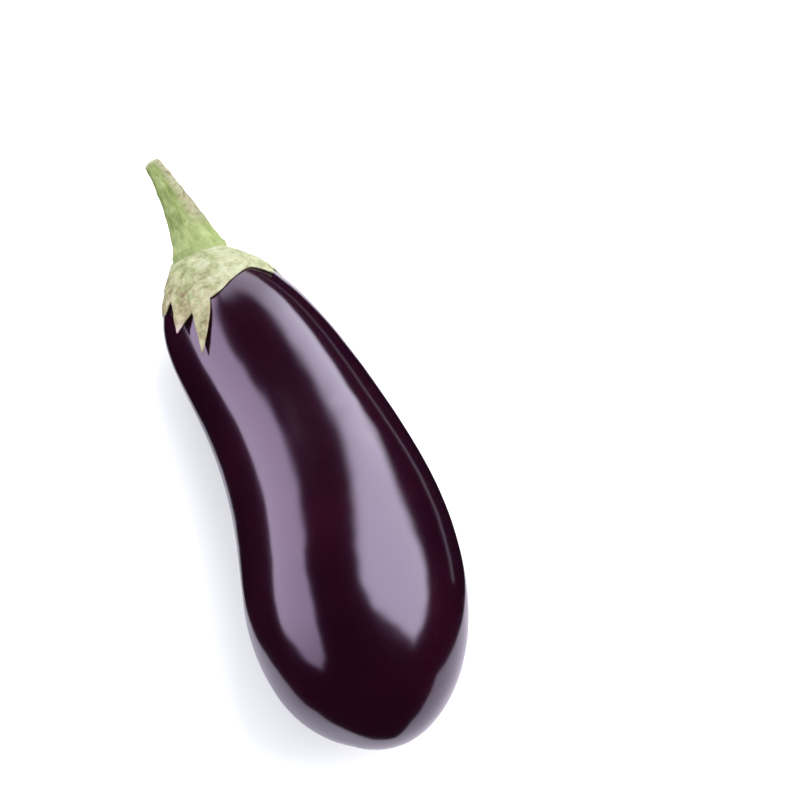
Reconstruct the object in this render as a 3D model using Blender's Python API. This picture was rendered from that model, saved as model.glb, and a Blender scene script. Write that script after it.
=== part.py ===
"""Long purple eggplant lying on its side.

Three closed bodies: the glossy fruit, the leafy calyx cap over its neck and the cut
stem.  The fruit lies along +Y with its blossom end at -Y and rests on z = 0.
"""
import math

import bmesh
import bpy
import numpy as np
from mathutils import Matrix, Vector

# All dimensions in metres, angles in degrees.
GAP = 0.0003                        # clearance between neighbouring bodies

FRUIT_LENGTH = 0.198                # along the curved spine
FRUIT_RADII = (0.0375, 0.0373, 0.0359, 0.0309, 0.0274, 0.0076)  # at fifths of the length
BLOSSOM_DOME = (0.0555, 2.47)       # depth and roundness of the big end
NECK_DOME = (0.0260, 2.90)          # depth and roundness of the stem end
BOW = (-0.470, 0.244, -0.143)       # sideways bend, powers 2, 3, 4 about the bend centre
BOW_CENTRE = 0.4                    # station of the straightest part of the spine
SPINE_TILT = 6.0                    # the thinner neck drops by this angle
FLAT_DEPTH = 0.0011                 # how far the resting flat is cut into the belly
SCAR_DEPTH = 0.0012                 # dimple of the blossom scar
SCAR_WIDTH = 0.0040
FRUIT_RINGS = 46
FRUIT_SIDES = 48

STEM_SEAT = (0.0110, 50.0)          # distance from the fruit pole and angle round it
STEM_BASE_DIRECTION = (-0.09, 0.96, 0.27)
STEM_TIP_DIRECTION = (-0.31, 0.94, 0.15)
STEM_LENGTH = 0.0365
STEM_TIP_RADIUS = 0.0031
STEM_TAPER = 0.0012                 # slow growth towards the base
STEM_FLARE = 0.0044                 # fast growth at the base
STEM_FLARE_LENGTH = 0.0110
STEM_RIDGES = 5
STEM_RIDGE_HEIGHT = 0.025           # share of the radius
STEM_RINGS = 18
STEM_SIDES = 30

CALYX_THICKNESS = 0.0013
CALYX_EDGE_THICKNESS = 0.0007
CALYX_BOSS_HEIGHT = 0.0034          # swelling under the stem
CALYX_BOSS_WIDTH = 0.0110
CALYX_SEAT_HEIGHT = 0.0030          # stem seat above the fruit skin
CALYX_TIP_LIFT = 0.0012             # free lobe tips stand off the skin
CALYX_SWIRL = 14.0                  # bend of the lobes at the reach below
CALYX_SWIRL_REACH = 0.060
CALYX_STEPS_PER_EDGE = 6            # columns between a notch and the next tip
CALYX_ROWS = 15
# Each lobe: angle and reach of its tip, then angle and reach of the notch after it.
CALYX_LOBES = (
    (44.0, 0.0358, 60.0, 0.0312),
    (84.0, 0.0345, 101.0, 0.0372),
    (123.0, 0.0600, 126.5, 0.0400),
    (139.5, 0.0440, 147.0, 0.0285),
    (158.0, 0.0340, 182.0, 0.0270),
    (222.0, 0.0430, 247.0, 0.0270),
    (278.0, 0.0335, 300.0, 0.0270),
    (334.0, 0.0420, 384.0, 0.0275),
)


def dome(distance, depth, roundness):
    """Width factor of a rounded end: 0 at the tip, 1 from the dome depth onwards."""
    inside = np.clip(1.0 - distance / depth, 0.0, 1.0)
    return (1.0 - inside ** roundness) ** (1.0 / roundness)


def fruit_radius(along):
    """Radius of the fruit at a distance along the spine from the blossom end."""
    stations = np.linspace(0.0, 1.0, len(FRUIT_RADII))
    swell = np.polyval(np.polyfit(stations, FRUIT_RADII, len(FRUIT_RADII) - 1), along / FRUIT_LENGTH)
    return swell * dome(along, *BLOSSOM_DOME) * dome(FRUIT_LENGTH - along, *NECK_DOME)


def spine_bow(along):
    """Sideways position and slope of the spine."""
    offset = along / FRUIT_LENGTH - BOW_CENTRE
    position = FRUIT_LENGTH * sum(factor * offset ** (k + 2) for k, factor in enumerate(BOW))
    slope = sum((k + 2) * factor * offset ** (k + 1) for k, factor in enumerate(BOW))
    return position, slope


def meridian_table():
    """Spine distance, arc length over the skin and spine y, finely stepped."""
    along = FRUIT_LENGTH * (1.0 - np.cos(np.linspace(0.0, math.pi, 2001))) / 2.0
    radius = fruit_radius(along)
    arc = np.concatenate(([0.0], np.cumsum(np.hypot(np.diff(radius), np.diff(along)))))
    slope = spine_bow(along)[1]
    middle_slope = (slope[1:] + slope[:-1]) / 2.0
    forward = np.sqrt(1.0 - middle_slope ** 2) * np.diff(along)
    spine_y = np.concatenate(([0.0], np.cumsum(forward)))
    return along, arc, spine_y


ALONG, ARC, SPINE_Y = meridian_table()
FRUIT_ARC = ARC[-1]


def fruit_point(reach, angle):
    """Point on the skin, given the distance over the skin from the stem-end pole."""
    along = np.interp(FRUIT_ARC - reach, ARC, ALONG)
    bow, slope = spine_bow(along)
    drop = math.tan(math.radians(SPINE_TILT))
    centre = Vector((bow, np.interp(along, ALONG, SPINE_Y), -along * drop))
    forward = Vector((slope, math.sqrt(1.0 - slope ** 2), -drop)).normalized()
    side = forward.cross(Vector((0.0, 0.0, 1.0))).normalized()
    upward = side.cross(forward)
    radius = float(fruit_radius(along))
    return centre + radius * (math.cos(angle) * side + math.sin(angle) * upward)


def fruit_normal(reach, angle):
    """Outward direction of the skin, from two short chords."""
    step = 0.0003
    reach = max(reach, 2.0 * step)
    turn = step / max(reach, 0.002)
    lengthwise = fruit_point(reach - step, angle) - fruit_point(reach + step, angle)
    around = fruit_point(reach, angle + turn) - fruit_point(reach, angle - turn)
    return lengthwise.cross(around).normalized()


def clear_objects():
    for item in list(bpy.data.objects):
        bpy.data.objects.remove(item, do_unlink=True)


def make_material(name, colour, roughness):
    material = bpy.data.materials.new(name)
    material.use_nodes = True
    shader = material.node_tree.nodes["Principled BSDF"]
    shader.inputs["Base Color"].default_value = (*colour, 1.0)
    shader.inputs["Roughness"].default_value = roughness
    shader.inputs["Metallic"].default_value = 0.0
    material.diffuse_color = (*colour, 1.0)
    return material


def join_rings(mesh, rings):
    """Quads between neighbouring closed rings; a one-point ring becomes a fan."""
    for first, second in zip(rings, rings[1:]):
        count = max(len(first), len(second))
        for i in range(count):
            j = (i + 1) % count
            corners = [first[i % len(first)], first[j % len(first)],
                       second[j % len(second)], second[i % len(second)]]
            unique = list(dict.fromkeys(corners))
            mesh.faces.new(unique)


def add_body(name, mesh, material):
    """Closes, orients and shades one body and links it to the scene."""
    bmesh.ops.recalc_face_normals(mesh, faces=mesh.faces)
    for face in mesh.faces:
        face.smooth = True
    data = bpy.data.meshes.new(name)
    mesh.to_mesh(data)
    mesh.free()
    data.materials.append(material)
    body = bpy.data.objects.new(name, data)
    bpy.context.scene.collection.objects.link(body)
    return body


def cut_flat(mesh, point, normal):
    """Slices off everything beyond a plane and closes the cut with flat faces."""
    geometry = list(mesh.verts) + list(mesh.edges) + list(mesh.faces)
    cut = bmesh.ops.bisect_plane(mesh, geom=geometry, dist=0.00001, plane_co=point,
                                 plane_no=normal, clear_outer=True)
    rim = [item for item in cut["geom_cut"] if isinstance(item, bmesh.types.BMEdge)]
    bmesh.ops.holes_fill(mesh, edges=rim, sides=0)


def scar_dimple(point, from_blossom):
    """Pushes the blossom end in at its centre."""
    depth = SCAR_DEPTH * math.exp(-(from_blossom / SCAR_WIDTH) ** 2)
    return point + Vector((0.0, depth, 0.0))


def build_fruit(material):
    """Club-shaped body of rings along the bent spine, cut flat where it rests."""
    mesh = bmesh.new()
    rings = []
    for row in range(FRUIT_RINGS + 1):
        share = row / FRUIT_RINGS
        eased = share - 0.10 * math.sin(2.0 * math.pi * share) / math.pi
        reach = FRUIT_ARC * (1.0 - eased)
        sides = 1 if row in (0, FRUIT_RINGS) else FRUIT_SIDES
        ring = []
        for k in range(sides):
            point = fruit_point(reach, 2.0 * math.pi * k / sides)
            ring.append(mesh.verts.new(scar_dimple(point, FRUIT_ARC - reach)))
        rings.append(ring)
    join_rings(mesh, rings)
    lowest = min(vert.co.z for vert in mesh.verts)
    cut_flat(mesh, Vector((0.0, 0.0, lowest + FLAT_DEPTH)), Vector((0.0, 0.0, -1.0)))
    return add_body("fruit", mesh, material)


def calyx_margin():
    """Angle, reach and tip share of every column, running round the lobed edge."""
    columns = []
    previous = CALYX_LOBES[-1][2] - 360.0
    previous_reach = CALYX_LOBES[-1][3]
    for tip_angle, tip_reach, notch_angle, notch_reach in CALYX_LOBES:
        for start, end in (((previous, previous_reach, 0.0), (tip_angle, tip_reach, 1.0)),
                           ((tip_angle, tip_reach, 1.0), (notch_angle, notch_reach, 0.0))):
            for k in range(CALYX_STEPS_PER_EDGE):
                share = k / CALYX_STEPS_PER_EDGE
                rise = share ** 1.4 if end[2] else 1.0 - (1.0 - share) ** 1.4
                angle = start[0] + (end[0] - start[0]) * share
                reach = start[1] + (end[1] - start[1]) * rise
                pointed = start[2] + (end[2] - start[2]) * rise
                columns.append((math.radians(angle), reach, pointed))
        previous = notch_angle
        previous_reach = notch_reach
    return columns


def seat_centre():
    """Stem seat on the skin, as flat chart coordinates round the fruit pole."""
    angle = math.radians(STEM_SEAT[1])
    return STEM_SEAT[0] * math.cos(angle), STEM_SEAT[0] * math.sin(angle)


def calyx_point(angle, reach, height):
    """Point above the skin at a swirled angle and reach from the stem seat."""
    swirl = math.radians(CALYX_SWIRL) * (reach / CALYX_SWIRL_REACH) ** 2
    seat_x, seat_y = seat_centre()
    chart_x = seat_x + reach * math.cos(angle + swirl)
    chart_y = seat_y + reach * math.sin(angle + swirl)
    from_pole = math.hypot(chart_x, chart_y)
    around = math.atan2(chart_y, chart_x)
    return fruit_point(from_pole, around) + height * fruit_normal(from_pole, around)


def seat_plane():
    """Point and direction of the flat seat between calyx and stem."""
    angle = math.radians(STEM_SEAT[1])
    direction = Vector(STEM_BASE_DIRECTION).normalized()
    return fruit_point(STEM_SEAT[0], angle) + CALYX_SEAT_HEIGHT * direction, direction


def build_calyx(material):
    """Thin leafy cap: an outer and an inner skin over the fruit, joined at the margin."""
    mesh = bmesh.new()
    columns = calyx_margin()
    outer = [[mesh.verts.new(calyx_point(0.0, 0.0, GAP + CALYX_THICKNESS + CALYX_BOSS_HEIGHT))]]
    inner = [[mesh.verts.new(calyx_point(0.0, 0.0, GAP))]]
    for row in range(1, CALYX_ROWS + 1):
        share = row / CALYX_ROWS
        outer_ring = []
        inner_ring = []
        for angle, margin, pointed in columns:
            reach = margin * share
            free = pointed * max(0.0, (share - 0.6) / 0.4) ** 2
            lift = GAP + CALYX_TIP_LIFT * free
            thinning = (CALYX_THICKNESS - CALYX_EDGE_THICKNESS) * share ** 3
            boss = CALYX_BOSS_HEIGHT * math.exp(-(reach / CALYX_BOSS_WIDTH) ** 2)
            height = lift + CALYX_THICKNESS - thinning + boss
            outer_ring.append(mesh.verts.new(calyx_point(angle, reach, height)))
            inner_ring.append(mesh.verts.new(calyx_point(angle, reach, lift)))
        outer.append(outer_ring)
        inner.append(inner_ring)
    join_rings(mesh, outer)
    join_rings(mesh, inner)
    join_rings(mesh, [outer[-1], inner[-1]])
    point, direction = seat_plane()
    cut_flat(mesh, point, direction)
    return add_body("calyx", mesh, material)


def build_stem(material):
    """Ridged stalk that flares onto its seat and bends gently to its cut tip."""
    mesh = bmesh.new()
    seat, base_direction = seat_plane()
    tip_direction = Vector(STEM_TIP_DIRECTION).normalized()
    centre = seat + GAP * base_direction
    step = STEM_LENGTH / STEM_RINGS
    rings = [[mesh.verts.new(centre)]]
    for row in range(STEM_RINGS + 1):
        share = row / STEM_RINGS
        direction = base_direction.lerp(tip_direction, share).normalized()
        side = direction.cross(Vector((0.0, 0.0, 1.0))).normalized()
        upward = side.cross(direction)
        flare = STEM_FLARE * math.exp(-row * step / STEM_FLARE_LENGTH)
        radius = STEM_TIP_RADIUS + STEM_TAPER * (1.0 - share) + flare
        ring = []
        for k in range(STEM_SIDES):
            angle = 2.0 * math.pi * k / STEM_SIDES
            ridged = radius * (1.0 + STEM_RIDGE_HEIGHT * math.cos(STEM_RIDGES * angle + 2.0 * share))
            ring.append(mesh.verts.new(centre + ridged * (math.cos(angle) * side + math.sin(angle) * upward)))
        rings.append(ring)
        if row < STEM_RINGS:
            centre = centre + step * direction
    rings.append([mesh.verts.new(centre)])
    join_rings(mesh, rings)
    tip_rim = [edge for edge in mesh.edges if all(vert in rings[-2] for vert in edge.verts)]
    bmesh.ops.bevel(mesh, geom=tip_rim, offset=0.0006, segments=2, affect="EDGES", profile=0.5)
    return add_body("stem", mesh, material)


def centre_on_floor(bodies):
    """Moves the bodies so that the origin is under the middle of their joint box."""
    points = [vert.co for body in bodies for vert in body.data.vertices]
    low = Vector(min(point[k] for point in points) for k in range(3))
    high = Vector(max(point[k] for point in points) for k in range(3))
    shift = Vector((-(low.x + high.x) / 2.0, -(low.y + high.y) / 2.0, -low.z))
    for body in bodies:
        body.data.transform(Matrix.Translation(shift))


clear_objects()
fruit = build_fruit(make_material("purple_skin", (0.022, 0.003, 0.014), 0.15))
calyx = build_calyx(make_material("green_calyx", (0.47, 0.48, 0.29), 0.60))
stem = build_stem(make_material("green_stalk", (0.36, 0.42, 0.17), 0.55))
centre_on_floor([fruit, calyx, stem])
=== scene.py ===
import math
import bpy
import numpy as np
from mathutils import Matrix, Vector


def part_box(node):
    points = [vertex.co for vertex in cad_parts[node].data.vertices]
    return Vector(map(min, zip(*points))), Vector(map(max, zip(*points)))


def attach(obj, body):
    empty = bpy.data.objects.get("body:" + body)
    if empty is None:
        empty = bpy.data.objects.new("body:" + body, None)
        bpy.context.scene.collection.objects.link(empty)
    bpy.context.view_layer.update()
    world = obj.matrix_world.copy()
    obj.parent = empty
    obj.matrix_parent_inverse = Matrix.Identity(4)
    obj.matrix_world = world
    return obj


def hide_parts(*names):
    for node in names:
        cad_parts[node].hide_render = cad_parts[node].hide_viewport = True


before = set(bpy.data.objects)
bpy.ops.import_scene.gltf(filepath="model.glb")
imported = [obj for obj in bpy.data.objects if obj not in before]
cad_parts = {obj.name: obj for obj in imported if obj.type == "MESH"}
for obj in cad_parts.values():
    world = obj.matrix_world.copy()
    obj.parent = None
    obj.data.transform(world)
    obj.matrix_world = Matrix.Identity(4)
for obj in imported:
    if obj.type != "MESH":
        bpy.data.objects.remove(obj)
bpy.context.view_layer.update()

mm = 0.001
turn = 2.0 * math.pi


# ---- small helpers

def srgb(code):
    # hex colour to linear light: c / 12.92 below 0.04045, else ((c + 0.055) / 1.055) ** 2.4
    values = [int(code[i:i + 2], 16) / 255.0 for i in (1, 3, 5)]
    return tuple(v / 12.92 if v <= 0.04045 else ((v + 0.055) / 1.055) ** 2.4 for v in values) + (1.0,)


def unit(vectors):
    # each vector divided by its own length
    return vectors / np.linalg.norm(vectors, axis=-1, keepdims=True)


def softNoise(points, size, seed, waves=10):
    # smooth noise from -1 to 1: a mean of sine waves, each in its own seeded direction, about one size long
    rng = np.random.default_rng(seed)
    directions = unit(rng.normal(size=(waves, 3)))
    lengths = size * rng.uniform(0.6, 1.6, waves)
    starts = rng.uniform(0.0, turn, waves)
    phase = points @ (directions / lengths[:, None] * turn).T + starts
    return np.sin(phase).sum(-1) / math.sqrt(waves)


def ramp(value, low, high):
    # 0 below low, 1 above high, and a smooth S between
    t = np.clip((value - low) / (high - low), 0.0, 1.0)
    return t * t * (3.0 - 2.0 * t)


def makeSurface(name, rings, material, attributes=None):
    # closed skin over a grid of rings: point (row, column), columns joined round, first and last rows drawn to a pole
    rows, columns = rings.shape[:2]
    body = rings[1:-1].reshape(-1, 3)
    points = np.concatenate((rings[:1, 0], body, rings[-1:, 0]))
    here = 1 + np.arange((rows - 3) * columns).reshape(rows - 3, columns)
    right = np.roll(here, -1, axis=1)
    quads = np.stack((here, right, right + columns, here + columns), -1).reshape(-1, 4)
    first = 1 + np.arange(columns)
    last = 1 + (rows - 3) * columns + np.arange(columns)
    start = np.stack((np.roll(first, -1), first, np.zeros(columns, int)), -1)
    end = np.stack((last, np.roll(last, -1), np.full(columns, len(points) - 1)), -1)
    mesh = bpy.data.meshes.new(name)
    mesh.from_pydata(points.tolist(), [], start.tolist() + quads.tolist() + end.tolist())
    for label, grid in (attributes or {}).items():
        layer = mesh.attributes.new(label, "FLOAT_VECTOR", "POINT")
        values = np.concatenate((grid[:1, 0], grid[1:-1].reshape(-1, 3), grid[-1:, 0]))
        layer.data.foreach_set("vector", values.astype(np.float32).ravel())
    mesh.polygons.foreach_set("use_smooth", np.ones(len(mesh.polygons), bool))
    mesh.materials.append(material)
    mesh.update()
    piece = bpy.data.objects.new(name, mesh)
    bpy.context.scene.collection.objects.link(piece)
    return piece


def pick(sockets, key):
    # a socket by number, or the one in use of that name: a Mix node holds one of each name for every data type
    if isinstance(key, int):
        return sockets[key]
    return next(socket for socket in sockets if socket.name == key and socket.enabled)


def addNode(tree, kind, inputs=None, stops=None, **settings):
    # one shader node; an input is a plain value or a (node, output) pair, stops are colour ramp places and colours
    node = tree.nodes.new(kind)
    for name, value in settings.items():
        setattr(node, name, value)
    for socket, value in (inputs or {}).items():
        entry = pick(node.inputs, socket)
        if isinstance(value, tuple) and isinstance(value[0], bpy.types.Node):
            tree.links.new(pick(value[0].outputs, value[1]), entry)
        else:
            entry.default_value = value
    if stops:
        elements = node.color_ramp.elements
        while len(elements) < len(stops):
            elements.new(0.5)
        for element, (place, colour) in zip(elements, stops):
            element.position = place
            element.color = srgb(colour)
    return node


def startMaterial(name, **values):
    # a Principled material with its constant values on the shader's own sockets
    material = bpy.data.materials.new(name)
    material.use_nodes = True
    tree = material.node_tree
    shader = tree.nodes["Principled BSDF"]
    for socket, value in values.items():
        shader.inputs[socket.replace("_", " ")].default_value = value
    return material, tree, shader


# ---- the fruit's form, in metres: the same curves as the CAD fruit

form = {
    "length": 0.198,
    "radii": (0.0375, 0.0373, 0.0359, 0.0309, 0.0274, 0.0076),
    "blossomDome": (0.0555, 2.47),
    "neckDome": (0.0260, 2.90),
    "bow": (-0.470, 0.244, -0.143),
    "bowCentre": 0.4,
    "tilt": 6.0,
    "flatDepth": 0.0011,
}


def domeFactor(distance, depth, roundness):
    # (1 - (1 - distance / depth) ^ n) ^ (1 / n): 0 at the end's tip, 1 from the dome's depth on
    inside = np.clip(1.0 - distance / depth, 0.0, 1.0)
    return (1.0 - inside ** roundness) ** (1.0 / roundness)


def fruitRadius(along):
    # a smooth curve through the six radii, times both rounded ends
    stations = np.linspace(0.0, 1.0, len(form["radii"]))
    swell = np.polyval(np.polyfit(stations, form["radii"], len(form["radii"]) - 1), along / form["length"])
    return swell * domeFactor(along, *form["blossomDome"]) * domeFactor(form["length"] - along, *form["neckDome"])


def spineBow(along):
    # sideways place and slope: a polynomial of powers 2, 3 and 4 about the bend's centre
    offset = along / form["length"] - form["bowCentre"]
    place = form["length"] * sum(f * offset ** (k + 2) for k, f in enumerate(form["bow"]))
    slope = sum((k + 2) * f * offset ** (k + 1) for k, f in enumerate(form["bow"]))
    return place, slope


alongTable = form["length"] * (1.0 - np.cos(np.linspace(0.0, math.pi, 4001))) / 2.0
radiusTable = fruitRadius(alongTable)
arcTable = np.concatenate(([0.0], np.cumsum(np.hypot(np.diff(radiusTable), np.diff(alongTable)))))
slopeTable = spineBow(alongTable)[1]
forwardTable = np.sqrt(1.0 - ((slopeTable[1:] + slopeTable[:-1]) / 2.0) ** 2) * np.diff(alongTable)
spineTable = np.concatenate(([0.0], np.cumsum(forwardTable)))
fruitArc = arcTable[-1]
drop = math.tan(math.radians(form["tilt"]))


def spineFrame(along):
    # centre, side and upward directions of the cross-section at a distance along the spine
    place, slope = spineBow(along)
    centre = np.stack((place, np.interp(along, alongTable, spineTable), -along * drop), -1)
    forward = unit(np.stack((slope, np.sqrt(1.0 - slope ** 2), np.full_like(slope, -drop)), -1))
    side = unit(np.cross(forward, (0.0, 0.0, 1.0)))
    return centre, side, np.cross(side, forward)


def rawSkin(reach, angle):
    # skin point: centre + radius * (cos(angle) side + sin(angle) upward), reach is measured over the skin from the stem
    along = np.interp(fruitArc - reach, arcTable, alongTable)
    radius = np.interp(fruitArc - reach, arcTable, radiusTable)
    centre, side, upward = spineFrame(along)
    return centre + radius[..., None] * (np.cos(angle)[..., None] * side + np.sin(angle)[..., None] * upward)


# the raw form is moved so that its box sits in the CAD fruit's box
boxLow, boxHigh = (np.array(corner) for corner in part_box("fruit"))
wholeReach, wholeAngle = np.meshgrid(np.linspace(0.0, fruitArc, 400), np.linspace(0.0, turn, 360), indexing="ij")
rawPoints = rawSkin(wholeReach, wholeAngle).reshape(-1, 3)
rawLow, rawHigh = rawPoints.min(0), rawPoints.max(0)
place = (boxLow + boxHigh - rawLow - rawHigh) / 2.0
place[2] = boxHigh[2] - rawHigh[2]


def skin(reach, angle):
    # the plain skin in its place
    return rawSkin(reach, angle) + place


def skinNormal(reach, angle, step=0.0003):
    # outward direction: the cross product of a chord along the skin and a chord round it
    reach = np.clip(reach, 2.0 * step, fruitArc - 2.0 * step)
    spread = step / np.clip(np.minimum(reach, fruitArc - reach), 0.0006, 0.03)
    lengthwise = rawSkin(reach - step, angle) - rawSkin(reach + step, angle)
    around = rawSkin(reach, angle + spread) - rawSkin(reach, angle - spread)
    return unit(np.cross(lengthwise, around))


# ---- fruit

fruit = {
    "rows": 300, "columns": 300,
    "waveSize": 0.070, "waveHeight": 0.00022,      # slow unevenness of the flesh
    "rippleSize": 0.009, "rippleHeight": 0.000013,  # fine unevenness that makes the edges of glints waver
    "facetCount": 5, "facetHeight": 0.00030,       # faint long flats round the fruit
    "restSoftness": 0.0007,                        # how softly the belly turns into its flat
    "scar": (0.0120, -90.0, 0.0032, 0.0005),       # distance from the blossom pole, angle, width and depth
    "dents": ((0.118, 60.0, 0.0050, 0.00022), (0.105, 66.0, 0.0035, 0.00014), (0.150, 120.0, 0.0060, 0.00012)),
}


def fruitSurface(reach, angle):
    # plain skin pushed along its normal by slow waves, long flats and shallow dents, then pressed flat on the table
    points = skin(reach, angle)
    normals = skinNormal(reach, angle)
    height = fruit["waveHeight"] * softNoise(points, fruit["waveSize"], 11)
    height += fruit["rippleHeight"] * softNoise(points, fruit["rippleSize"], 12)
    share = reach / fruitArc
    fade = np.sin(math.pi * share) ** 2
    height += fruit["facetHeight"] * fade * np.cos(fruit["facetCount"] * angle + 2.0 * share + 0.6)
    for dentReach, dentAngle, dentSize, dentDepth in fruit["dents"]:
        middle = skin(np.array([dentReach]), np.array([math.radians(dentAngle)]))[0]
        away = np.linalg.norm(points - middle, axis=-1) / dentSize
        height -= dentDepth * np.exp(-away ** 2)
    scarReach, scarAngle, scarWidth, scarDepth = fruit["scar"]
    scarMiddle = skin(np.array([fruitArc - scarReach]), np.array([math.radians(scarAngle)]))[0]
    height -= scarDepth * np.exp(-(np.linalg.norm(points - scarMiddle, axis=-1) / scarWidth) ** 2)
    points = points + height[..., None] * normals
    soft = fruit["restSoftness"]
    points[..., 2] = (points[..., 2] + np.sqrt(points[..., 2] ** 2 + soft ** 2)) / 2.0
    return points


def waxySkin():
    # eggplant peel: a thin smooth natural wax over deep purple cells; it looks almost black with crisp pale glints
    material, tree, shader = startMaterial(
        "waxedPurplePeel", Roughness=0.16, IOR=1.60, Coat_Weight=0.5, Coat_Roughness=0.09, Coat_IOR=1.5,
        Specular_Tint=srgb("#ecd6ff"))
    where = addNode(tree, "ShaderNodeTexCoord")
    clouds = addNode(tree, "ShaderNodeTexNoise", {"Vector": (where, "Object"), "Scale": 28.0, "Detail": 4.0,
                                                 "Roughness": 0.55})
    tone = addNode(tree, "ShaderNodeValToRGB", {"Fac": (clouds, "Fac")},
                   stops=((0.30, "#15010c"), (0.55, "#1b020f"), (0.75, "#210312")))
    speck = addNode(tree, "ShaderNodeTexNoise", {"Vector": (where, "Object"), "Scale": 900.0, "Detail": 3.0})
    bump = addNode(tree, "ShaderNodeBump", {"Height": (speck, "Fac"), "Strength": 0.05, "Distance": 0.00005})
    tree.links.new(tone.outputs["Color"], shader.inputs["Base Color"])
    tree.links.new(bump.outputs["Normal"], shader.inputs["Normal"])
    return material


reach, angle = np.meshgrid(np.linspace(0.0, fruitArc, fruit["rows"]),
                           np.arange(fruit["columns"]) * turn / fruit["columns"], indexing="ij")
fruitPiece = makeSurface("fruitSkin", fruitSurface(reach, angle), waxySkin())
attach(fruitPiece, "root")
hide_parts("fruit")
print("fruit done")


# ---- calyx

calyx = {
    "seat": (0.0110, 50.0),                        # stem seat: distance from the fruit's pole and angle round it
    "gap": 0.0003,
    "thickness": 0.0013, "edgeThickness": 0.0005,
    "bossHeight": 0.0034, "bossWidth": 0.0110,
    "swirl": 14.0, "swirlReach": 0.060,
    "columnsPerEdge": 22, "rows": 110, "innerRows": 60,
    "ribHeight": 0.00035, "ribWidth": 0.0016,
    "grainHeight": 0.00012,
    # each lobe: angle and reach of its tip, power of the rise to it, angle and reach of the notch after it, tip lift
    "lobes": ((38.0, 0.0330, 1.5, 58.0, 0.0277, 0.0002), (90.0, 0.0330, 1.5, 111.0, 0.0374, 0.0001),
              (127.0, 0.0592, 0.75, 129.0, 0.0403, 0.0011), (142.5, 0.0462, 1.1, 151.0, 0.0292, 0.0024),
              (158.5, 0.0342, 1.5, 182.0, 0.0262, 0.0008), (222.0, 0.0430, 1.5, 247.0, 0.0270, 0.0012),
              (278.0, 0.0335, 1.5, 300.0, 0.0262, 0.0006), (325.0, 0.0385, 1.5, 368.0, 0.0262, 0.0008)),
    "curledTip": (142.5, 5.0, 0.0405, 0.0460),     # angle, half width and reach of the pale curled tip
    "dryAndShadeAngle": 159.0, "paleAngle": 62.0,          # middle of the brown dry side, whose darker browns are also painted shade, and of the pale fresh side
}


def calyxMargin():
    # one value per column round the lobed edge: angle, reach, how near a tip it is, and that tip's lift
    steps = np.arange(calyx["columnsPerEdge"]) / calyx["columnsPerEdge"]
    parts = []
    fromAngle, fromReach = calyx["lobes"][-1][3] - 360.0, calyx["lobes"][-1][4]
    for tipAngle, tipReach, power, notchAngle, notchReach, lift in calyx["lobes"]:
        out = steps ** power
        back = 1.0 - (1.0 - steps) ** 1.5
        parts.append(np.stack((fromAngle + (tipAngle - fromAngle) * steps,
                               fromReach + (tipReach - fromReach) * out, out, np.full_like(out, lift))))
        parts.append(np.stack((tipAngle + (notchAngle - tipAngle) * steps,
                               tipReach + (notchReach - tipReach) * back, 1.0 - back, np.full_like(out, lift))))
        fromAngle, fromReach = notchAngle, notchReach
    angle, reach, tip, lift = np.concatenate(parts, axis=1)
    return np.radians(angle), reach, tip, lift


seatAngle = math.radians(calyx["seat"][1])
seatChart = np.array((calyx["seat"][0] * math.cos(seatAngle), calyx["seat"][0] * math.sin(seatAngle)))


def overSkin(angle, reach, height):
    # point a height above the skin, where angle and reach are measured from the stem's seat and swirl with reach
    swirled = angle + math.radians(calyx["swirl"]) * (reach / calyx["swirlReach"]) ** 2
    chartX = seatChart[0] + reach * np.cos(swirled)
    chartY = seatChart[1] + reach * np.sin(swirled)
    fromPole, around = np.hypot(chartX, chartY), np.arctan2(chartY, chartX)
    return skin(fromPole, around) + height[..., None] * skinNormal(fromPole, around)


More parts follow.
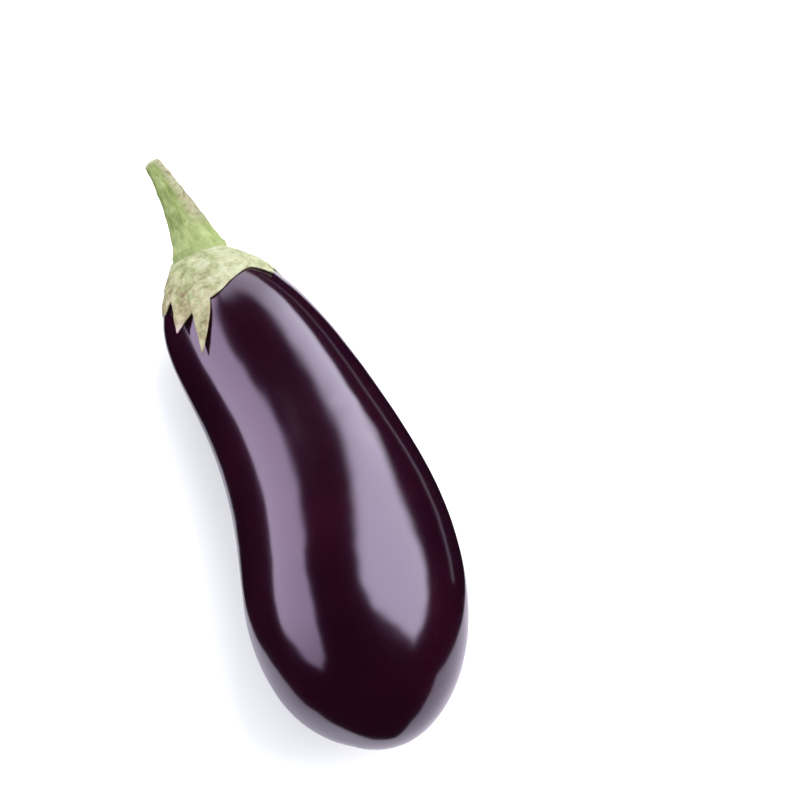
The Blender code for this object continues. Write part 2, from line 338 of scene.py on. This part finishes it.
def calyxSurface():
    # outer skin from the seat out to the margin, round the thin edge, and back under it on the inner skin
    marginAngle, marginReach, tip, lift = calyxMargin()
    shares = np.linspace(0.0, 1.0, calyx["rows"])[:, None] ** 0.85
    back = np.linspace(1.0, 0.0, calyx["innerRows"])[1:, None]
    outReach = marginReach * shares
    outAngle = marginAngle + 0.0 * shares
    backReach = marginReach * back
    backAngle = marginAngle + 0.0 * back

    def clearance(share):
        return calyx["gap"] + lift * tip * np.clip((share - 0.55) / 0.45, 0.0, 1.0) ** 2

    body = calyx["thickness"] - (calyx["thickness"] - calyx["edgeThickness"]) * shares ** 3
    boss = calyx["bossHeight"] * np.exp(-(outReach / calyx["bossWidth"]) ** 2)
    height = clearance(shares) + body + boss
    flat = overSkin(outAngle, outReach, height)
    grain = softNoise(flat, 0.0055, 21) + 0.6 * softNoise(flat, 0.0022, 22)
    height = height + calyx["grainHeight"] * grain * ramp(outReach, 0.004, 0.012)
    for tipAngle in (lobe[0] for lobe in calyx["lobes"]):
        aside = (np.angle(np.exp(1j * (outAngle - math.radians(tipAngle)))) * outReach) / calyx["ribWidth"]
        height = height + calyx["ribHeight"] * np.exp(-aside ** 2) * ramp(outReach, 0.006, 0.016) * (1.0 - shares ** 4)
    edge = height.copy()
    outer = overSkin(outAngle, outReach, height)
    middle = overSkin(marginAngle[None], marginReach[None] * 1.004,
                      (clearance(1.0) + edge[-1:] ) / 2.0)
    inner = overSkin(backAngle, backReach, clearance(back))
    rim = overSkin(marginAngle[None], marginReach[None], clearance(np.ones((1, 1))))
    rings = np.concatenate((outer, middle, rim, inner))
    shareGrid = np.concatenate((shares, [[1.0]], [[1.0]], back)) + 0.0 * marginReach
    angleGrid = marginAngle + 0.0 * shareGrid
    reachGrid = marginReach * shareGrid
    # dry side: real dried brown, made darker on the calyx's left as painted shade; it also browns towards the margin
    dryAndShade = ramp(np.cos(angleGrid - math.radians(calyx["dryAndShadeAngle"])), 0.30, 0.98) * ramp(shareGrid, 0.20, 0.85)
    dryAndShade = dryAndShade + 0.35 * ramp(shareGrid, 0.80, 1.0)
    pale = ramp(np.cos(angleGrid - math.radians(calyx["paleAngle"])), 0.20, 0.95)
    curlAngle, curlWidth, curlStart, curlEnd = calyx["curledTip"]
    curl = np.exp(-((np.degrees(angleGrid) - curlAngle) / curlWidth) ** 2) * ramp(reachGrid, curlStart, curlEnd)
    return rings, np.stack((dryAndShade, pale, curl), -1)


def driedLeaf():
    # calyx: a thick green leaf, half dried; matte, pale green, freckled brown where it dries, with fine leaf grain; the
    # browns of the dry left side are darkened as painted shade
    material, tree, shader = startMaterial("halfDriedCalyxLeaf", Roughness=0.62, IOR=1.42, Specular_IOR_Level=0.35)
    where = addNode(tree, "ShaderNodeTexCoord")
    zones = addNode(tree, "ShaderNodeSeparateXYZ", {
        "Vector": (addNode(tree, "ShaderNodeAttribute", attribute_name="leafZones"), "Vector")})
    patches = addNode(tree, "ShaderNodeTexNoise", {"Vector": (where, "Object"), "Scale": 230.0, "Detail": 6.0,
                                                  "Roughness": 0.65})
    green = addNode(tree, "ShaderNodeValToRGB", {"Fac": (patches, "Fac")},
                    stops=((0.34, "#6b7544"), (0.48, "#878f62"), (0.62, "#9ca27c")))
    fresh = addNode(tree, "ShaderNodeValToRGB", {"Fac": (patches, "Fac")},
                    stops=((0.34, "#7c8458"), (0.50, "#939877"), (0.64, "#a3a68c")))
    leaf = addNode(tree, "ShaderNodeMix", {"Factor": (zones, "Y"), "A": (green, "Color"), "B": (fresh, "Color")},
                   data_type="RGBA")
    flecks = addNode(tree, "ShaderNodeTexNoise", {"Vector": (where, "Object"), "Scale": 620.0, "Detail": 5.0,
                                                 "Roughness": 0.72})
    share = addNode(tree, "ShaderNodeMath", {0: (zones, "X"), 1: 0.17, 2: (flecks, "Fac")},
                    operation="MULTIPLY_ADD")
    mask = addNode(tree, "ShaderNodeValToRGB", {"Fac": (share, "Value")},
                   stops=((0.53, "#000000"), (0.64, "#c8c8c8"), (0.74, "#ffffff")))
    # dry-leaf browns, kept dark so that they also paint the shade on the calyx's left
    brownsAndShade = addNode(tree, "ShaderNodeValToRGB", {"Fac": (patches, "Fac")},
                     stops=((0.36, "#62533a"), (0.50, "#81775a"), (0.62, "#989075")))
    freckled = addNode(tree, "ShaderNodeMix", {"Factor": (mask, "Color"), "A": (leaf, "Result"),
                                              "B": (brownsAndShade, "Color")}, data_type="RGBA")
    curled = addNode(tree, "ShaderNodeMix", {"Factor": (zones, "Z"), "A": (freckled, "Result"),
                                            "B": srgb("#b09a9a")}, data_type="RGBA")
    bump = addNode(tree, "ShaderNodeBump", {"Height": (flecks, "Fac"), "Strength": 0.55, "Distance": 0.0004})
    tree.links.new(pick(curled.outputs, "Result"), shader.inputs["Base Color"])
    tree.links.new(bump.outputs["Normal"], shader.inputs["Normal"])
    return material


calyxRings, leafZones = calyxSurface()
calyxPiece = makeSurface("calyxLeaf", calyxRings, driedLeaf(), {"leafZones": leafZones})
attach(calyxPiece, "root")
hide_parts("calyx")
print("calyx done")


# ---- stem

stem = {
    "baseDirection": (-0.09, 0.96, 0.27), "tipDirection": (-0.31, 0.94, 0.15),
    "seatHeight": 0.0030, "sunk": 0.0032, "length": 0.0365,
    "tipRadius": 0.0029, "taper": 0.0019, "flare": 0.0034, "flareLength": 0.0230,
    "collar": 0.0019, "collarLength": 0.0034,      # quick widening where the stem meets the calyx
    "ridges": 5, "ridgeHeight": 0.020,
    "freckledShadeAngle": 30.0,                            # side of the stem with brown freckles and a grey-brown strip of painted shade
    "rows": 150, "endRows": 16, "columns": 160,
}


def stemSurface():
    # a round profile carried along a path that turns steadily from the base direction to the tip direction
    seatSkin = skin(np.array([calyx["seat"][0]]), np.array([seatAngle]))[0]
    base = unit(np.array(stem["baseDirection"]))
    tipWay = unit(np.array(stem["tipDirection"]))
    lengths = np.linspace(-stem["sunk"], stem["length"], stem["rows"])
    share = np.clip(lengths / stem["length"], 0.0, 1.0)[:, None]
    ways = unit(base * (1.0 - share) + tipWay * share)
    steps = np.diff(lengths)[:, None] * (ways[1:] + ways[:-1]) / 2.0
    path = np.concatenate((np.zeros((1, 3)), np.cumsum(steps, axis=0)))
    path = path + seatSkin + base * (stem["seatHeight"] - stem["sunk"])
    side = unit(np.cross(ways, (0.0, 0.0, 1.0)))
    upward = np.cross(side, ways)
    around = np.arange(stem["columns"]) * turn / stem["columns"]
    radius = stem["tipRadius"] + stem["taper"] * (1.0 - share) \
        + stem["flare"] * np.exp(-(lengths[:, None] / stem["flareLength"]) ** 2) \
        + stem["collar"] * np.exp(-np.clip(lengths[:, None], 0.0, None) / stem["collarLength"])
    radius = radius * (1.0 + stem["ridgeHeight"] * np.cos(stem["ridges"] * around + 2.0 * share))
    round_ = np.cos(around)[None, :, None] * side[:, None] + np.sin(around)[None, :, None] * upward[:, None]
    wall = path[:, None] + radius[..., None] * round_
    wall = wall + (0.00016 * softNoise(wall, 0.006, 31) + 0.00006 * softNoise(wall, 0.0018, 32))[..., None] * round_
    # the cut end: the last ring shrinks to the middle over a short rounded shoulder
    bend = np.linspace(0.0, math.pi / 2.0, stem["endRows"])[1:, None, None]
    shoulder = 0.0007
    lastRadius = radius[-1][None, :, None]
    crown = path[-1] + (lastRadius - shoulder * (1.0 - np.cos(bend))) * round_[-1] \
        + shoulder * np.sin(bend) * ways[-1]
    inward = np.linspace(1.0, 0.0, 14)[1:, None, None]
    face = path[-1] + (lastRadius - shoulder) * inward * round_[-1] + (shoulder - 0.0004 * (1.0 - inward ** 2)) * ways[-1]
    bottom = path[0] + np.linspace(0.0, 1.0, 8)[:-1, None, None] * radius[0][None, :, None] * round_[0]
    rings = np.concatenate((bottom, wall, crown, face))
    alongStem = np.concatenate((np.full(7, -stem["sunk"]), lengths, np.full(15, stem["length"]),
                                np.full(13, stem["length"] + 0.001)))[:, None] + 0.0 * around
    fibre = np.stack((np.cos(around) * 0.004 + 0.0 * alongStem, np.sin(around) * 0.004 + 0.0 * alongStem,
                      alongStem), -1)
    # one side of the stem: real brown freckles plus a grey-brown strip of painted edge shade
    freckledShade = ramp(np.cos(around - math.radians(stem["freckledShadeAngle"])), 0.35, 0.95) \
        * ramp(alongStem, 0.004, 0.014)
    cut = ramp(alongStem, stem["length"] - 0.0012, stem["length"] + 0.0002)
    base = 1.0 - ramp(alongStem, 0.0, 0.012)
    zones = np.stack((freckledShade, base, cut), -1)
    return rings[::-1], {"stalkFibre": fibre[::-1], "stalkZones": zones[::-1]}


def greenStalk():
    # stalk: fibrous green plant stem; matte, faintly streaked lengthwise, freckled brown on one side with a grey-brown
    # strip of painted shade there, dry where cut
    material, tree, shader = startMaterial("fibrousGreenStalk", Roughness=0.55, IOR=1.42, Specular_IOR_Level=0.35)
    zones = addNode(tree, "ShaderNodeSeparateXYZ", {
        "Vector": (addNode(tree, "ShaderNodeAttribute", attribute_name="stalkZones"), "Vector")})
    fibre = addNode(tree, "ShaderNodeAttribute", attribute_name="stalkFibre")
    stretch = addNode(tree, "ShaderNodeMapping", {"Vector": (fibre, "Vector"), "Scale": (1.0, 1.0, 0.30)})
    streaks = addNode(tree, "ShaderNodeTexNoise", {"Vector": (stretch, "Vector"), "Scale": 520.0, "Detail": 6.0,
                                                  "Roughness": 0.65})
    where = addNode(tree, "ShaderNodeTexCoord")
    tone = addNode(tree, "ShaderNodeValToRGB", {"Fac": (streaks, "Fac")},
                   stops=((0.34, "#566530"), (0.50, "#6f7d44"), (0.66, "#8f9868")))
    low = addNode(tree, "ShaderNodeValToRGB", {"Fac": (streaks, "Fac")},
                  stops=((0.34, "#6b7a46"), (0.50, "#7f8c57"), (0.66, "#92996a")))
    grown = addNode(tree, "ShaderNodeMix", {"Factor": (zones, "Y"), "A": (tone, "Color"), "B": (low, "Color")},
                    data_type="RGBA")
    flecks = addNode(tree, "ShaderNodeTexNoise", {"Vector": (where, "Object"), "Scale": 560.0, "Detail": 5.0,
                                                 "Roughness": 0.7})
    # grey-brown tones of that side: brown freckles and painted shade
    freckledShadeTone = addNode(tree, "ShaderNodeValToRGB", {"Fac": (flecks, "Fac")},
                   stops=((0.40, "#84886a"), (0.54, "#7d785b"), (0.62, "#5e4a38")))
    freckledShade = addNode(tree, "ShaderNodeMix", {"Factor": (zones, "X"), "A": (grown, "Result"), "B": (freckledShadeTone, "Color")},
                    data_type="RGBA")
    cut = addNode(tree, "ShaderNodeMix", {"Factor": (zones, "Z"), "A": (freckledShade, "Result"), "B": srgb("#8f8e72")},
                  data_type="RGBA")
    bump = addNode(tree, "ShaderNodeBump", {"Height": (streaks, "Fac"), "Strength": 0.5, "Distance": 0.0004})
    tree.links.new(pick(cut.outputs, "Result"), shader.inputs["Base Color"])
    tree.links.new(bump.outputs["Normal"], shader.inputs["Normal"])
    return material


stemRings, stemGrids = stemSurface()
stemPiece = makeSurface("stalk", stemRings, greenStalk(), stemGrids)
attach(stemPiece, "root")
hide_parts("stem")
print("stem done")


# ---- floor, lights and camera

studio = {
    "middle": (0.0, -0.020, 0.035),                # what the lights look at
    "right": {"direction": (0.70, 0.42, 0.57), "distance": 1.10, "shift": (-0.33, 0.22), "size": (1.90, 1.90),
              "radiance": 3.3, "colour": (1.0, 0.97, 0.98)},
    "left": {"direction": (-0.85, 0.37, 0.37), "distance": 1.10, "shift": (0.15, 0.0), "size": (1.70, 0.98),
             "radiance": 2.4, "colour": (0.98, 0.97, 1.0)},
    "back": {"direction": (-0.05, 0.92, 0.38), "distance": 1.10, "shift": (0.0, 0.0), "size": (0.90, 0.28),
             "radiance": 3.2, "colour": (0.96, 0.90, 1.0)},
}


def addSoftbox(name, direction, distance, shift, size, radiance, colour):
    # round softbox across the given direction, moved sideways and up by shares of its distance; power = radiance * pi * area
    lamp = bpy.data.lights.new(name, "AREA")
    lamp.shape = "ELLIPSE"
    lamp.size, lamp.size_y = size
    lamp.energy = radiance * math.pi * size[0] * size[1] * math.pi / 4.0
    lamp.color = colour
    holder = bpy.data.objects.new(name, lamp)
    away = Vector(direction).normalized()
    sideways = Vector((0.0, 0.0, 1.0)).cross(away).normalized()
    upward = away.cross(sideways)
    holder.location = Vector(studio["middle"]) + distance * (away + shift[0] * sideways + shift[1] * upward)
    holder.rotation_euler = away.to_track_quat("Z", "Y").to_euler()
    holder.visible_camera = False
    holder.visible_glossy = False
    bpy.context.scene.collection.objects.link(holder)
    return holder


addSoftbox("softboxRight", **studio["right"])
addSoftbox("softboxLeft", **studio["left"])
addSoftbox("softboxBack", **studio["back"])

glow = {
    "distance": 1.10, "cells": 90,
    # outline in shares of the distance, sideways and up from the direction; how soft the edge is; brightness;
    # dimming: sideways places where it starts and ends, and the share of brightness lost there
    "right": {"direction": (0.70, 0.42, 0.57), "soft": 0.11, "radiance": 5.8, "colour": (0.93, 0.92, 1.0, 1.0),
              "dimming": (0.30, 0.72, 0.58),
              "outline": ((0.36, 0.50), (0.05, 0.92), (-0.35, 0.97), (-0.72, 0.72), (-1.20, 0.22), (-1.02, -0.06),
                          (-0.76, -0.28), (-0.40, -0.38), (0.02, -0.28), (0.26, -0.55), (0.62, -0.72),
                          (1.30, -0.68), (1.95, 0.10), (1.95, 0.84), (1.52, 0.66), (1.20, 0.42), (1.00, 0.18), (0.80, 0.05), (0.56, 0.04))},
    "left": {"direction": (-0.85, 0.37, 0.37), "soft": 0.06, "radiance": 3.8, "colour": (0.93, 0.82, 1.0, 1.0),
             "dimming": (0.10, 0.95, 0.45),
             "outline": ((-0.85, -0.48), (-0.25, -0.50), (0.02, -0.60), (0.32, -0.42), (0.60, -0.12), (0.92, 0.22),
                         (0.72, 0.46), (0.15, 0.47), (-0.34, 0.30), (-0.85, 0.36))},
}


def insideBy(points, outline):
    # how far each point lies inside the outline, negative outside: nearest edge distance, signed by edge crossings
    start = np.array(outline)
    along = np.roll(start, -1, axis=0) - start
    offset = points[:, None] - start
    share = np.clip((offset * along).sum(-1) / (along ** 2).sum(-1), 0.0, 1.0)
    nearest = np.linalg.norm(offset - share[..., None] * along, axis=-1).min(-1)
    crosses = (offset[..., 1] < 0.0) != (offset[..., 1] < along[:, 1])
    rise = np.where(along[:, 1] == 0.0, 1.0, along[:, 1])
    beyond = offset[..., 0] < along[:, 0] * offset[..., 1] / rise
    inside = (crosses & beyond).sum(-1) % 2 == 1
    return np.where(inside, nearest, -nearest)


def addGlow(name, direction, soft, radiance, colour, dimming, outline):
    # flat diffuser panel seen only in gloss: it glows inside its outline and fades out softly across its edge
    cells = glow["cells"]
    spread = np.abs(np.array(outline)).max() + soft
    sides = np.linspace(-spread, spread, cells + 1)
    across, up = np.meshgrid(sides, sides, indexing="ij")
    flat = np.stack((across.ravel(), up.ravel()), -1)
    shine = ramp(insideBy(flat, outline), -soft, soft) * (1.0 - dimming[2] * ramp(flat[:, 0], dimming[0], dimming[1]))
    away = np.array(direction) / np.linalg.norm(direction)
    sideways = unit(np.cross((0.0, 0.0, 1.0), away))
    upward = np.cross(away, sideways)
    points = np.array(studio["middle"]) + glow["distance"] * (away + flat[:, :1] * sideways + flat[:, 1:] * upward)
    corner = (np.arange(cells)[:, None] * (cells + 1) + np.arange(cells)).ravel()
    quads = np.stack((corner, corner + 1, corner + cells + 2, corner + cells + 1), -1)
    lit = shine[quads].max(-1) > 0.0
    material = bpy.data.materials.new(name + "Diffuser")
    material.use_nodes = True
    tree = material.node_tree
    tree.nodes.clear()
    level = addNode(tree, "ShaderNodeAttribute", attribute_name="shine")
    strength = addNode(tree, "ShaderNodeMath", {0: (level, "Fac"), 1: radiance}, operation="MULTIPLY")
    emission = addNode(tree, "ShaderNodeEmission", {"Color": colour, "Strength": (strength, "Value")})
    output = addNode(tree, "ShaderNodeOutputMaterial")
    tree.links.new(emission.outputs["Emission"], output.inputs["Surface"])
    mesh = bpy.data.meshes.new(name)
    mesh.from_pydata(points.tolist(), [], quads[lit].tolist())
    mesh.attributes.new("shine", "FLOAT", "POINT").data.foreach_set("value", shine.astype(np.float32))
    mesh.materials.append(material)
    panel = bpy.data.objects.new(name, mesh)
    panel.visible_camera = False
    panel.visible_diffuse = False
    panel.visible_shadow = False
    panel.visible_transmission = False
    bpy.context.scene.collection.objects.link(panel)


addGlow("glowRight", **glow["right"])
addGlow("glowLeft", **glow["left"])

floorMaterial, floorTree, floorShader = startMaterial("mattePaperSweep", Roughness=0.9, Specular_IOR_Level=0.1,
                                                      Base_Color=srgb("#f6f6f6"))
floorMesh = bpy.data.meshes.new("floor")
floorMesh.from_pydata([(-6, -6, 0), (6, -6, 0), (6, 6, 0), (-6, 6, 0)], [], [(0, 1, 2, 3)])
floorMesh.materials.append(floorMaterial)
floor = bpy.data.objects.new("floor", floorMesh)
bpy.context.scene.collection.objects.link(floor)

# sheets seen only in the fruit's gloss, lighting nothing: the dark cloth and dark card paint dark reflections of the
# dark things and shaded floor beside it, the pale strip paints a thin pale reflected streak, the grey floor paints the
# shaded floor in reflection
openFloor = ((0.034, 0.10), (0.045, -0.050), (0.17, -0.060), (0.22, -0.14), (0.19, -0.180), (0.11, -0.192),
             (0.04, -0.187), (0.0, -0.150), (-0.03, -0.137), (-0.078, -0.133), (-0.105, -0.100),
             (-0.098, -0.042), (-0.047, -0.036), (-0.046, 0.10))
inner = np.array(openFloor)
clothPoints = np.concatenate((inner, inner * 120.0))
clothPoints = np.concatenate((clothPoints, np.full((len(clothPoints), 1), 0.001)), axis=1).tolist()
count = len(inner)
clothFaces = [(k, (k + 1) % count, (k + 1) % count + count, k + count) for k in range(count)]
glossOnly = {
    "darkCloth": (clothPoints, clothFaces, (0.006, 0.003, 0.006, 1.0)),
    "darkCard": ([(0.150, -0.055, 0.0), (0.130, 0.300, 0.0), (0.130, 0.300, 0.050), (0.150, -0.055, 0.078)],
                 [(0, 1, 2, 3)], (0.006, 0.003, 0.006, 1.0)),
    # painted reflection: a thin pale streak along the fruit's right side
    "paleReflectionStrip": ([(0.112, -0.060, 0.002), (0.130, -0.060, 0.002), (0.126, 0.280, 0.002), (0.108, 0.280, 0.002)],
                  [(0, 1, 2, 3)], (0.22, 0.20, 0.24, 1.0)),
    # painted shade: the floor seen in the fruit's gloss is made grey, as if in shadow
    "shadedFloorReflection": ([(-0.25, -0.30, 0.0005), (0.35, -0.30, 0.0005), (0.35, 0.25, 0.0005), (-0.25, 0.25, 0.0005)],
                  [(0, 1, 2, 3)], (0.58, 0.55, 0.62, 1.0)),
}
for name, (points, faces, colour) in glossOnly.items():
    sheetMaterial, sheetTree, sheetShader = startMaterial(name + "Cloth", Roughness=1.0, Specular_IOR_Level=0.0,
                                                          Base_Color=colour)
    sheetMesh = bpy.data.meshes.new(name)
    sheetMesh.from_pydata(points, [], faces)
    sheetMesh.materials.append(sheetMaterial)
    glossSheet = bpy.data.objects.new(name, sheetMesh)
    glossSheet.visible_camera = False
    glossSheet.visible_diffuse = False
    glossSheet.visible_shadow = False
    glossSheet.visible_transmission = False
    bpy.context.scene.collection.objects.link(glossSheet)

world = bpy.data.worlds.new("paleStudio")
bpy.context.scene.world = world
world.use_nodes = True
worldTree = world.node_tree
background = worldTree.nodes["Background"]
background.inputs["Color"].default_value = (0.91, 0.94, 1.0, 1.0)
background.inputs["Strength"].default_value = 1.08
# glossy rays see a nearly black world, which paints dark reflections; other rays get the pale fill, and camera rays a
# plain white backdrop
shade = addNode(worldTree, "ShaderNodeBackground", {"Color": (1.0, 0.60, 0.85, 1.0), "Strength": 0.008})
backdrop = addNode(worldTree, "ShaderNodeBackground", {"Color": (1.0, 1.0, 1.0, 1.0), "Strength": 1.0})
rays = addNode(worldTree, "ShaderNodeLightPath")
glossy = addNode(worldTree, "ShaderNodeMixShader", {"Fac": (rays, "Is Glossy Ray"), 1: (background, "Background"),
                                                   2: (shade, "Background")})
mixed = addNode(worldTree, "ShaderNodeMixShader", {"Fac": (rays, "Is Camera Ray"), 1: (glossy, "Shader"),
                                                  2: (backdrop, "Background")})
worldTree.links.new(mixed.outputs["Shader"], worldTree.nodes["World Output"].inputs["Surface"])
bpy.context.scene.view_settings.view_transform = "Standard"

view = {"azimuth": -16.7, "elevation": 66.0, "distance": 0.80, "lens": 98.2, "aim": (0.0373, 0.1278)}
azimuth, elevation = math.radians(view["azimuth"]), math.radians(view["elevation"])
backward = Vector((math.sin(azimuth) * math.cos(elevation), -math.cos(azimuth) * math.cos(elevation),
                   math.sin(elevation)))
aim = Vector((view["aim"][0] + place[0], view["aim"][1] + place[1], 0.0))
cameraData = bpy.data.cameras.new("camera")
cameraData.lens = view["lens"]
cameraData.sensor_width = 36.0
cameraData.clip_start = 0.01
camera = bpy.data.objects.new("camera", cameraData)
camera.location = aim + view["distance"] * backward
camera.rotation_euler = backward.to_track_quat("Z", "Y").to_euler()
bpy.context.scene.collection.objects.link(camera)
bpy.context.scene.camera = camera
print("studio done")
